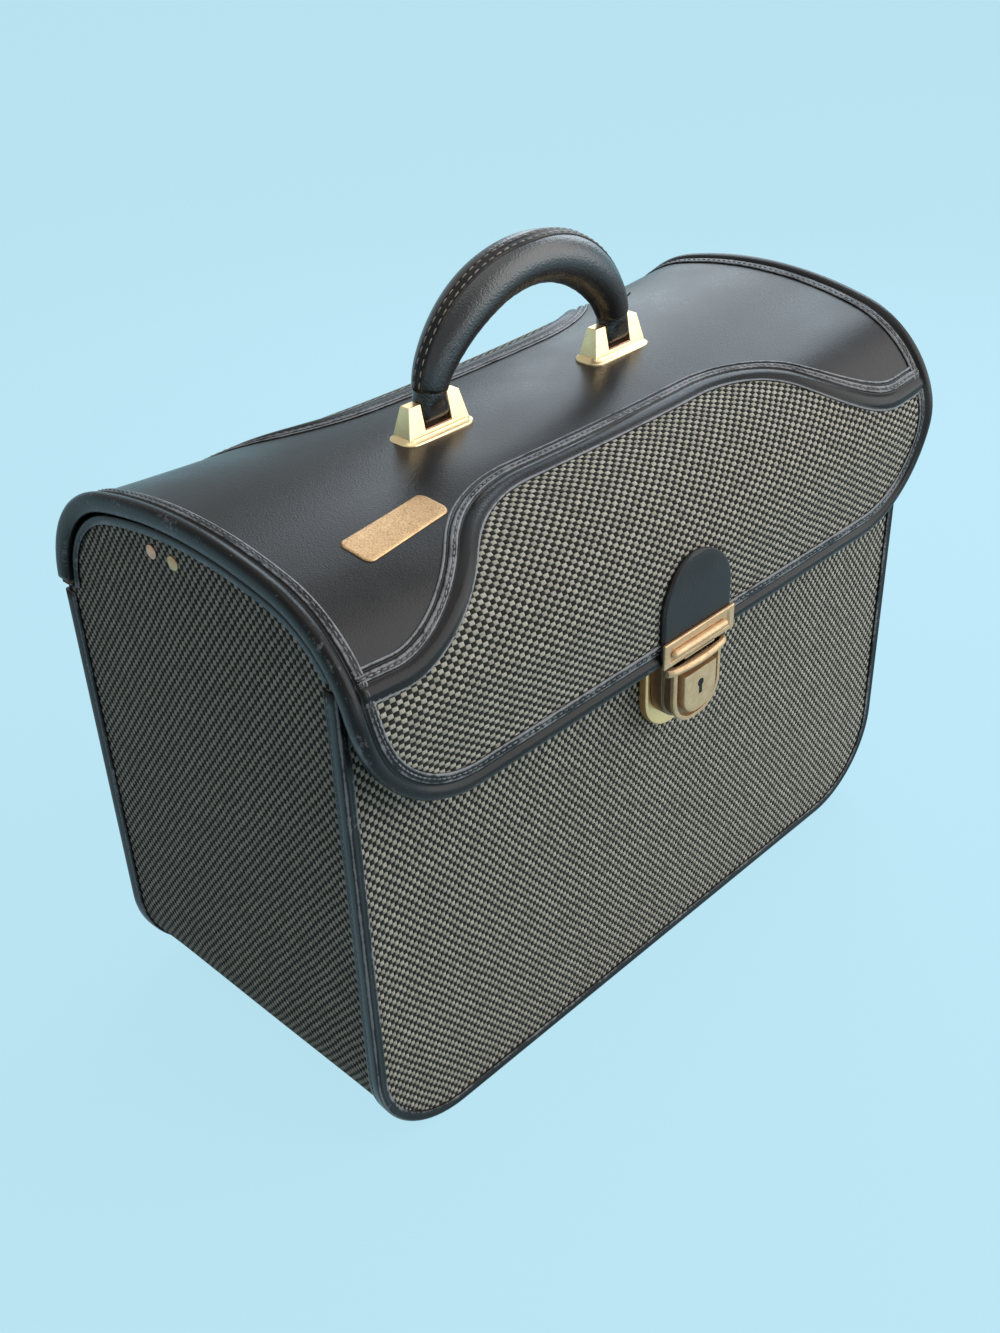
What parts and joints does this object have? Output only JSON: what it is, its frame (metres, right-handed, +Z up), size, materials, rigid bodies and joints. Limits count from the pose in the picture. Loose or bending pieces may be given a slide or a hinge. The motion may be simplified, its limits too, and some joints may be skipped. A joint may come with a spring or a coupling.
{
  "type": "tweed locking case",
  "caption": "Tweed carrying case with a curved hinged flap lid, a leather arch handle that swings on brass posts, and a brass push lock with a hasp.",
  "frame": {"origin": "on the surface under the case, below the middle of the whole case", "axes": "+X along the case to the viewer's right, -Y towards the front with the lock, +Z up"},
  "size_m": [0.404, 0.2152, 0.3706],
  "materials": {
    "tweed": "two-tone woven tweed",
    "board": "stiff fibre board",
    "lining": "dark woven lining",
    "black_leather": "smooth, lightly scuffed",
    "black_binding": "folded and stitched, worn edges",
    "brass": "aged polished brass",
    "steel": "plain"
  },
  "bodies": {
    "body": {"front_board": "board", "front_tweed": "tweed", "back_board": "board", "back_tweed": "tweed", "left_side_board": "board", "right_side_board": "board", "bottom_board": "board", "gusset_tweed": "tweed", "front_binding": "black_binding", "back_binding": "black_binding", "left_arch_binding": "black_binding", "right_arch_binding": "black_binding", "front_top_binding": "black_binding", "body_lining": "lining", "hinge_strip": "lining", "lock_base_plate": "brass", "lock_guide": "brass", "lock_rivets": "brass", "lock_backing_plate": "steel", "lock_spring": "steel", "left_end_rivets": "brass", "right_end_rivets": "brass"},
    "lid": {"lid_board": "board", "lid_leather": "black_leather", "flap_tweed": "tweed", "lid_back_tweed": "tweed", "lid_lining": "lining", "lid_binding": "black_binding", "front_seam_band": "black_binding", "back_seam_band": "black_binding", "left_handle_post": "brass", "right_handle_post": "brass", "post_rivets": "steel", "post_backing_plates": "steel", "handle_pins": "steel", "nameplate": "brass", "hasp_tab": "black_leather", "hasp_plate": "brass", "hasp_rivets": "brass", "hasp_backing_plate": "steel"},
    "handle": {"handle_grip": "black_leather", "handle_core": "steel"},
    "slide": {"lock_slide": "brass", "lock_keeper": "brass"},
    "cam": {"lock_cam": "brass"}
  },
  "joints": [
    {"name": "lid_hinge", "type": "hinge", "parent": "body", "child": "lid", "pos_m": [0, 0.1061, 0.24], "axis": [-1, 0, 0], "range_deg": [0, 115], "deforming": ["hinge_strip"]},
    {"name": "handle_swing", "type": "hinge", "parent": "lid", "child": "handle", "pos_m": [0, 0.00285, 0.30735], "axis": [1, 0, 0], "range_deg": [-85, 85]},
    {"name": "lock_slide_push", "type": "slide", "parent": "body", "child": "slide", "axis": [0, 0, -1], "range_m": [0, 0.004], "stiffness_N_per_m": 800, "springref_m": -0.002, "deforming": ["lock_spring"]},
    {"name": "cam_turn", "type": "hinge", "parent": "slide", "child": "cam", "pos_m": [0, -0.1004, 0.1779], "axis": [0, 1, 0], "range_deg": [0, 90]}
  ]
}
